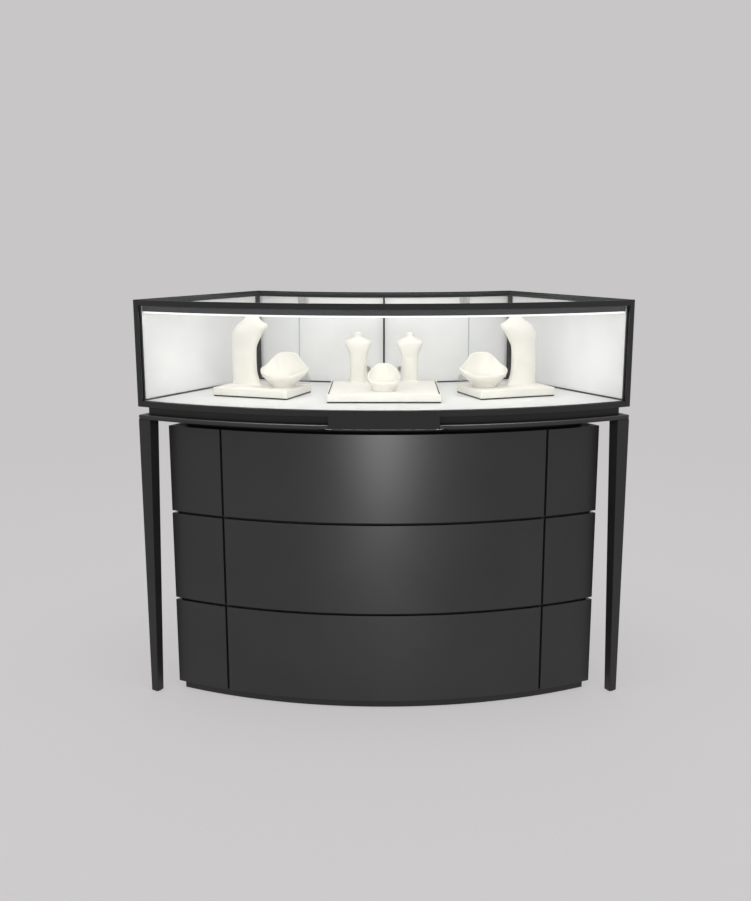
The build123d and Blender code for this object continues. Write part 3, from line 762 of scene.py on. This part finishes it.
def tray_body(size):
    """Wrapped board: soft lower edge, straight sides and a low wall round the seat of the pad."""
    low = SHADOW_FOOT_HEIGHT - 0.2
    high = tray_height / MM
    profile = (
        (1.2, low), (0.3, low + 0.4), (0.0, low + 1.2), (0.0, high - 1.5), (0.2, high - 0.5),
        (0.8, high), (RIM - 0.6, high), (RIM, high - 0.5), (RIM, high - 3.0),
        (PAD_INSET / MM + 4.0, high - 3.0),
    )

    def make(work):
        loft(work, [outline_ring(size, inset * MM, z * MM) for inset, z in profile])
    return make


def tray_gap_shade(size):
    """Black strip of painted shade at the bottom of the gap between the wall and the pad."""
    low, high = tray_height - 3.2 * MM, tray_height - GAP_FLOOR * MM
    outer, inner = RIM * MM - 0.2 * MM, PAD_INSET + 1.0 * MM

    def make(work):
        rings = [
            outline_ring(size, inset, z)
            for inset, z in ((outer, low), (outer, high), (inner, high), (inner, low))
        ]
        loft(work, rings + [rings[0]], cap=False)
    return make


def tray_pad(size):
    """Inset pad with a tucked lower edge, a rolled side and a nearly flat top."""
    low = tray_height - PAD_RISE
    seam_at = STITCH_INSET / MM - PAD_INSET / MM
    profile = (
        (1.6, 0.0), (0.7, 0.3), (0.1, 1.2), (0.0, 2.0), (0.3, 2.9), (1.1, 3.5), (2.6, 3.85),
        (seam_at - 0.8, 3.9), (seam_at, 3.55), (seam_at + 0.8, 3.9), (9.0, 4.0), (20.0, 4.0),
    )

    def make(work):
        loft(work, [outline_ring(size, PAD_INSET + inset * MM, low + z * MM) for inset, z in profile])
    return make


def stitch_row(chain, radius, length, pitch):
    """Short rounded stitches along a closed chain of points."""
    def make(work):
        count = len(chain)
        carried = 0.0
        for i in range(count):
            start, end = chain[i], chain[(i + 1) % count]
            run = (end - start).length
            if run < 1e-7:
                continue
            ahead = (end - start) / run
            while carried < run:
                middle = start + ahead * carried
                turn = ahead.to_track_quat("X", "Z").to_matrix().to_4x4()
                place = Matrix.Translation(middle) @ turn @ Matrix.Diagonal((length / 2 / radius, 1, 0.7, 1))
                bmesh.ops.create_icosphere(work, subdivisions=1, radius=radius, matrix=place)
                carried += pitch
            carried -= run
    return make


for side, (place, size) in trays.items():
    base = piece_from(f"tray_{side}", tray_body(size), LEATHERETTE, "white_leatherette", place)
    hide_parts("display_trays")
    # painted shade: a black foot under the tray for its contact shadow
    piece_from(f"tray_shadow_foot_{side}", tray_shadow_foot(size), DULL_BLACK, "black_board", place)
    # painted shade: a black strip darkens the crease between the tray's wall and its pad
    piece_from(f"tray_gap_shade_{side}", tray_gap_shade(size), DULL_BLACK, "black_board", place)
    pad = piece_from(f"tray_pad_{side}", tray_pad(size), LEATHERETTE, "white_leatherette", place)
    seam = outline_ring(size, STITCH_INSET, tray_height - STITCH_SUNK)
    piece_from(
        f"tray_stitches_{side}", stitch_row(seam, STITCH_RADIUS, STITCH_LENGTH, STITCH_PITCH),
        THREAD, "white_leatherette", place,
    )


# ---- Upholstered forms ---------------------------------------------------------------
LEFT, RIGHT, DEPTH, SETBACK = 1, 2, 3, 4    # places of the measures in a station
WELT_POINTS = 60
WELT_ENDS = (1.0, 1.5)      # left free below and above a welt, in millimetres


def form(work, stations, rows, columns=48, power=2.4):
    """Closed form from stations of (height, left, right, half depth, setback), in millimetres.
    Each level is a squarish oval between its left and right."""
    low, high = stations[0][0], stations[-1][0]
    rings = []
    for row in range(rows + 1):
        height = low + (high - low) * (1 - math.cos(math.pi * row / rows)) / 2
        left, right, deep, back = (
            eased([(station[0], station[k]) for station in stations], height)
            for k in (LEFT, RIGHT, DEPTH, SETBACK)
        )
        ring = []
        for column in range(columns):
            turn = 2 * math.pi * column / columns
            across = math.copysign(abs(math.cos(turn)) ** (2 / power), math.cos(turn))
            depth = math.copysign(abs(math.sin(turn)) ** (2 / power), math.sin(turn))
            ring.append(Vector((
                (left + right) / 2 + (right - left) / 2 * across,
                back + deep * depth,
                height,
            )) * MM)
        rings.append(ring)
    loft(work, rings)


def side_welt(stations, edge, radius):
    """Narrow welt up one side of a form, where its front and back covers meet."""
    def make(work):
        low, high = stations[0][0] + WELT_ENDS[0], stations[-1][0] - WELT_ENDS[1]
        points = []
        for row in range(WELT_POINTS):
            height = low + (high - low) * row / (WELT_POINTS - 1)
            points.append(Vector((
                eased([(station[0], station[edge]) for station in stations], height),
                eased([(station[0], station[SETBACK]) for station in stations], height),
                height,
            )) * MM)
        tube_along(work, points, radius)
    return make


def add_welts(name, stations, radius, place):
    """Welts up both sides of a form."""
    for edge_name, edge in (("outer", LEFT), ("inner", RIGHT)):
        piece_from(
            f"{name}_{edge_name}_welt", side_welt(stations, edge, radius),
            LEATHERETTE, "white_leatherette", place,
        )


# Neck forms: a straight column, a narrow waist, wide shoulders and a short neck.
BUST = (
    (0.0, -24.0, 24.0, 18.0, 0.0),
    (3.0, -22.6, 22.6, 16.6, 0.0),
    (12.0, -22.0, 22.0, 15.6, 0.0),
    (60.0, -21.5, 21.5, 14.5, 0.0),
    (72.0, -23.5, 23.5, 15.5, -0.5),
    (88.0, -30.5, 30.5, 17.0, -1.0),
    (97.0, -34.0, 34.0, 17.0, 0.0),
    (105.0, -32.5, 32.5, 15.0, 1.0),
    (111.0, -20.0, 20.0, 12.5, 2.0),
    (116.0, -11.5, 11.5, 10.5, 2.5),
    (124.0, -10.6, 10.6, 9.8, 3.0),
    (127.0, -9.6, 9.6, 8.8, 3.0),
    (128.0, -7.0, 7.0, 6.4, 3.0),
)
busts_low, busts_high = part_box("neck_busts")
bust_y = (busts_low.y + busts_high.y) / 2
BUST_HALF_WIDTH = 34.0 * MM
for side, sign in (("left", -1), ("right", 1)):
    stand_at = Matrix.Translation((sign * (busts_high.x - BUST_HALF_WIDTH), bust_y, busts_low.z))
    bust = piece_from(
        f"neck_bust_{side}", lambda work: form(work, BUST, 44), LEATHERETTE,
        "white_leatherette", stand_at,
    )
    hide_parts("neck_busts")
    add_welts(f"neck_bust_{side}", BUST, 0.45 * MM, stand_at)

# Tall chain stands: a column with one upright side, whose head reaches towards the middle.
STAND = (
    (0.0, -32.0, 50.0, 19.0, 0.0),
    (5.0, -32.0, 46.0, 18.0, 0.0),
    (14.0, -32.0, 41.0, 17.0, 0.0),
    (29.0, -32.0, 36.5, 16.0, 0.0),
    (65.0, -32.0, 34.0, 15.0, 0.0),
    (95.0, -32.5, 35.7, 15.5, 1.0),
    (108.0, -32.5, 40.5, 17.0, 2.0),
    (119.0, -32.3, 46.0, 18.5, 3.0),
    (131.0, -30.5, 53.0, 19.0, 4.0),
    (140.0, -27.0, 60.5, 19.0, 6.0),
    (146.0, -23.5, 64.0, 18.5, 7.5),
    (152.0, -17.5, 62.5, 17.0, 9.0),
    (158.0, -10.0, 51.0, 15.0, 10.5),
    (164.0, -2.0, 42.0, 12.0, 12.5),
    (168.5, 2.0, 38.5, 9.0, 14.0),
    (171.0, 4.5, 35.5, 5.0, 15.0),
)
STAND_PLACE = Matrix.Translation((-59.0 * MM, 14.0 * MM, tray_height))
for side in ("left", "right"):
    stand_at = trays[side][0] @ STAND_PLACE
    stand = piece_from(
        f"chain_stand_{side}", lambda work: form(work, STAND, 72, 64), LEATHERETTE,
        "white_leatherette", stand_at,
    )
    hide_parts("side_chain_stands")
    add_welts(f"chain_stand_{side}", STAND, 0.5 * MM, stand_at)


# ---- Ring dishes ---------------------------------------------------------------------
DISH_WALL = 2.6             # these four in millimetres
DISH_FOOT = 30.0
DISH_BASE = 2.4             # height of the low ring that a dish stands on
DISH_FLOOR = 11.0


def petal_dish(stations, columns=120, rows=18):
    """Deep bowl on a low broad foot, with a rim that rises into petals. Stations are (direction in
    degrees, reach, rise), in millimetres; the last repeats the first."""
    def rim(turn):
        return (eased([(station[0], station[k]) for station in stations], turn) for k in (1, 2))

    def skin(turn, share, wall):
        """Point on the skin, share of the way up, wall inside the outer face."""
        reach, rise = rim(turn)
        swell = math.sin(math.pi / 2 * share ** 1.3)
        out = DISH_FOOT + (reach - DISH_FOOT) * swell - wall
        up = DISH_BASE + (rise - DISH_BASE) * share
        up = max(up, DISH_FLOOR * min(1.0, wall / DISH_WALL)) + wall * 0.5 * (1 - share)
        direction = math.radians(turn)
        return Vector((out * math.cos(direction), out * math.sin(direction), up)) * MM

    def make(work):
        first, last = stations[0][0], stations[-1][0]
        turns = [first + (last - first) * column / columns for column in range(columns)]
        shares = [row / rows for row in range(rows + 1)]
        foot_profile = (
            (12.0, 0.0), (DISH_FOOT - 1.4, 0.0), (DISH_FOOT - 0.5, 0.5), (DISH_FOOT - 0.5, 1.6)
        )
        foot = []
        for reach, z in foot_profile:
            foot.append([
                Vector((
                    reach * math.cos(math.radians(turn)),
                    reach * math.sin(math.radians(turn)),
                    z,
                )) * MM
                for turn in turns
            ])
        outside = [[skin(turn, share, 0.0) for turn in turns] for share in shares]
        lip = []
        for step in range(1, 6):
            roll = math.pi * step / 6
            lip.append([
                skin(turn, 1.0, DISH_WALL * (1 - math.cos(roll)) / 2)
                + Vector((0.0, 0.0, DISH_WALL / 2 * math.sin(roll) * MM))
                for turn in turns
            ])
        inside = [[skin(turn, share, DISH_WALL) for turn in turns] for share in reversed(shares[4:])]
        hollow = []
        for share in (0.8, 0.55, 0.25):
            floor = DISH_FLOOR * MM * (1 - share ** 2)
            hollow.append([
                Vector((point.x * share, point.y * share, point.z * share ** 2 + floor))
                for point in inside[-1]
            ])
        loft(work, foot + outside + lip + inside + hollow)
    return make


SIDE_DISH = (
    (-90.0, 46.0, 28.0),
    (-50.0, 52.0, 30.0),
    (-20.0, 60.0, 38.0),
    (6.0, 67.0, 47.0),
    (26.0, 60.0, 50.0),
    (46.0, 51.0, 62.0),
    (70.0, 48.0, 78.0),
    (100.0, 47.0, 81.0),
    (126.0, 48.0, 79.0),
    (146.0, 54.0, 66.0),
    (165.0, 58.0, 50.0),
    (186.0, 58.0, 45.0),
    (215.0, 56.0, 37.0),
    (242.0, 50.0, 31.0),
    (270.0, 46.0, 28.0),
)
CENTRE_DISH = (
    (-90.0, 34.0, 21.0),
    (-55.0, 38.0, 23.0),
    (-25.0, 41.0, 28.0),
    (0.0, 40.0, 36.0),
    (25.0, 37.0, 46.0),
    (50.0, 35.0, 57.0),
    (75.0, 34.0, 62.0),
    (105.0, 34.0, 62.0),
    (130.0, 35.0, 57.0),
    (155.0, 37.0, 46.0),
    (180.0, 40.0, 36.0),
    (205.0, 41.0, 28.0),
    (235.0, 38.0, 23.0),
    (270.0, 34.0, 21.0),
)
SIDE_DISH_PLACE = Matrix.Translation((57.0 * MM, 3.0 * MM, tray_height))
CENTRE_DISH_SETBACK = 66.0 * MM
centre_dish_at = Matrix.Translation((0.0, trays_low.y + CENTRE_DISH_SETBACK, deck + tray_height))
dishes = {
    "centre": (CENTRE_DISH, centre_dish_at),
    "left": (SIDE_DISH, left_tray @ SIDE_DISH_PLACE),
    "right": (SIDE_DISH, right_tray @ SIDE_DISH_PLACE),
}
for side, (stations, place) in dishes.items():
    dish = piece_from(
        f"ring_dish_{side}", petal_dish(stations), LEATHERETTE, "white_leatherette", place
    )
    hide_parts("ring_dishes")


# ---- Door hardware -------------------------------------------------------------------
SCREW_RADIUS = 2.4 * MM
FITTING_HALF_DEPTH = 6.0 * MM   # from the middle of a door's pane to the face of its fittings


def socket_screw(radius):
    """Countersunk head, facing +Z, with a bevelled rim and a hexagonal socket."""
    def make(work):
        sides = 36
        head = []
        for share, z in ((1.0, -0.1), (1.0, 0.15), (0.93, 0.3), (0.62, 0.32)):
            head.append([
                Vector((radius * share * math.cos(2 * math.pi * k / sides),
                        radius * share * math.sin(2 * math.pi * k / sides), z * MM))
                for k in range(sides)
            ])
        for share, z in ((0.56, 0.32), (0.54, 0.24), (0.54, -0.08)):
            ring = []
            for k in range(sides):
                turn = 2 * math.pi * k / sides
                within = (turn % (math.pi / 3)) - math.pi / 6
                reach = radius * share * math.cos(math.pi / 6) / math.cos(within)
                ring.append(Vector((reach * math.cos(turn), reach * math.sin(turn), z * MM)))
            head.append(ring)
        loft(work, head)
    return make


SCREW_REACHES = (9.0 * MM, 21.0 * MM)
SCREW_HEIGHT = 8.0 * MM
for side, sign in (("left", -1), ("right", 1)):
    hinge = next(j for j in frame["joints"] if j["name"] == f"{side}_glass_door_hinge")
    pivot = Vector(hinge["pos_m"])
    pane_radius = (Vector((pivot.x, pivot.y)) - Vector((0.0, axis_y))).length
    pane_low, pane_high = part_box(f"{side}_glass_door")
    for level, height in (("lower", pane_low.z + SCREW_HEIGHT), ("upper", pane_high.z - SCREW_HEIGHT)):
        for number, reach in enumerate(SCREW_REACHES, 1):
            angle = sign * (DOOR_EDGE_ANGLE - math.degrees(reach / pane_radius))
            staff_face = pane_radius - FITTING_HALF_DEPTH
            spot = at(staff_face, angle, height)
            inward = (at(0.0, 0.0, height) - spot).normalized()
            facing = Matrix.Translation(spot) @ inward.to_track_quat("Z", "Y").to_matrix().to_4x4()
            piece_from(
                f"{side}_door_{level}_screw_{number}", socket_screw(SCREW_RADIUS),
                finishes["brushed_steel"], "brushed_steel", facing, f"{side}_glass_door",
            )


def key_slot(length, width):
    """Key slot with round ends and a bevelled rim, facing +Z: a raised dark shape whose dark is painted shade, in
    place of the keyway's hollow.
    """
    def make(work):
        rings = []
        for inset, z in ((0.0, -0.10), (0.0, 0.10), (0.15, 0.18), (0.45, 0.12)):
            wide, narrow = length - 2 * inset * MM, width - 2 * inset * MM
            rings.append([
                Vector((x, y, z * MM)) for x, y in rounded_outline(wide, narrow, narrow / 2 - 0.01 * MM)
            ])
        loft(work, rings)
    return make


KEY_SLOT = (6.0 * MM, 1.6 * MM)
KEY_SLOT_SUNK = 0.13 * MM   # leaves the slot's rim 0.05 mm proud of the barrel
lock = next(j for j in frame["joints"] if j["name"] == "lock_turn")
barrel_axis = -Vector(lock["axis"]).normalized()
barrel_reach = (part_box("glass_door_lock_cam")[1].y - lock["pos_m"][1]) / barrel_axis.y
barrel_face = Vector(lock["pos_m"]) + barrel_axis * (barrel_reach - KEY_SLOT_SUNK)
slot_at = Matrix.Translation(barrel_face) @ barrel_axis.to_track_quat("Z", "Y").to_matrix().to_4x4()
# the slot's dark is painted shade for the keyway's hollow
piece_from(
    "lock_key_slot", key_slot(*KEY_SLOT), DULL_BLACK, "brushed_steel", slot_at,
    "glass_door_lock_cam",
)


# ---- Floor, backdrop and light -------------------------------------------------------
BACKDROP = rgb(0.578, 0.565, 0.571)
FLOOR_REACH = 7.0


def studio_floor():
    """Pale painted floor with a fine roller texture, which fades into the backdrop far out."""
    paint = Paint("studio_floor")
    texture = paint.noise(140.0, 4.0, 0.6)
    painted = paint.principled(
        Base_Color=paint.between(texture, rgb(0.21, 0.205, 0.207), rgb(0.25, 0.245, 0.247)),
        Roughness=0.85,
        Specular_IOR_Level=0.1,
        Emission_Color=BACKDROP,
        Emission_Strength=0.75,
        Normal=paint.bump(texture, 0.2, 0.2 * MM),
    )
    distance = paint.node("VectorMath", operation="LENGTH")
    paint.feed(distance.inputs[0], paint.place)
    far = paint.spread(distance.outputs["Value"], 1.2, FLOOR_REACH * 0.6, 0.0, 1.0)
    return paint.done(paint.blend(far, painted, paint.shader("BsdfTransparent")))


floor_mesh = bpy.data.meshes.new("floor")
floor_work = bmesh.new()
bmesh.ops.create_circle(floor_work, cap_ends=True, segments=96, radius=FLOOR_REACH)
floor_work.to_mesh(floor_mesh)
floor_work.free()
floor = bpy.data.objects.new("floor", floor_mesh)
floor.data.materials.append(studio_floor())
bpy.context.scene.collection.objects.link(floor)

world = bpy.data.worlds.new("studio")
world.use_nodes = True
world.node_tree.nodes["Background"].inputs["Color"].default_value = BACKDROP
bpy.context.scene.world = world
bpy.context.scene.view_settings.view_transform = "Standard"


def soft_light(name, size, place, target, watts, lit=None):
    """Rectangular soft light aimed at a point; lit lists the objects it lights, or None for all."""
    data = bpy.data.lights.new(name, "AREA")
    data.shape = "RECTANGLE"
    data.size, data.size_y = size
    data.energy = watts
    lamp = bpy.data.objects.new(name, data)
    lamp.location = place
    lamp.rotation_euler = (Vector(target) - Vector(place)).to_track_quat("-Z", "Y").to_euler()
    bpy.context.scene.collection.objects.link(lamp)
    if lit is not None:
        receivers = bpy.data.collections.new(name + "_lit")
        for thing in lit:
            receivers.objects.link(thing)
        lamp.light_linking.receiver_collection = receivers
    return lamp


def hidden_fill(name, size, place, target, watts, lit):
    """Soft light that is never seen itself, neither directly nor in glass."""
    fill = soft_light(name, size, place, target, watts, lit)
    fill.visible_camera = False
    fill.visible_glossy = False
    fill.visible_transmission = False


facings = [node for name, node in nodes.items() if slot_of[name] == "black_lacquer"]
soft_light("overhead", (2.6, 1.6), (0.0, -0.6, 3.4), (0.0, 0.0, 0.9), 30.0)
soft_light("front_glow", (0.45, 0.25), (0.0, -3.25, 0.36), (0.0, -0.3, 0.70), 26.0, facings)
base_rails = [nodes[name] for name in WIDE_EDGE]
soft_light("rail_glint", (2.8, 0.5), (0.0, -0.9, 3.0), (0.0, -0.3, 0.72), 180.0, base_rails)

fill_place = Vector((0.0, -0.06, cad_high.z - 18 * MM))
straight_below = (0.0, -0.06, 0.0)
fill_size = (1.05, 0.30)
hidden_fill("case_fill", fill_size, fill_place, straight_below, 2.0, [nodes["deck_lining"]])
hidden_fill("fitting_fill", fill_size, fill_place, straight_below, 0.45, upholstered)
hidden_fill("front_fill", (1.2, 0.3), (0.0, -1.1, 0.92), (0.0, -0.1, 0.92), 6.6, upholstered)
glass_walls = [nodes[name] for name in panes]
hidden_fill("wall_fill", (0.90, 0.08), (0.0, -0.19, 0.85), (0.0, 0.3, 0.83), 2.8, glass_walls)

# ---- Camera --------------------------------------------------------------------------
CAMERA_PLACE = (0.0, -2.75434, 1.15141)
CAMERA_TILT = 12.45         # below the horizontal
view = bpy.data.cameras.new("camera")
view.sensor_width = 36.0
view.lens = 43.316
view.shift_x = -0.0094
view.shift_y = 0.0261
camera = bpy.data.objects.new("camera", view)
camera.location = CAMERA_PLACE
camera.rotation_euler = (math.radians(90 - CAMERA_TILT), 0.0, 0.0)
bpy.context.scene.collection.objects.link(camera)
bpy.context.scene.camera = camera

# ---- Scene update --------------------------------------------------------------------
bpy.context.view_layer.update()
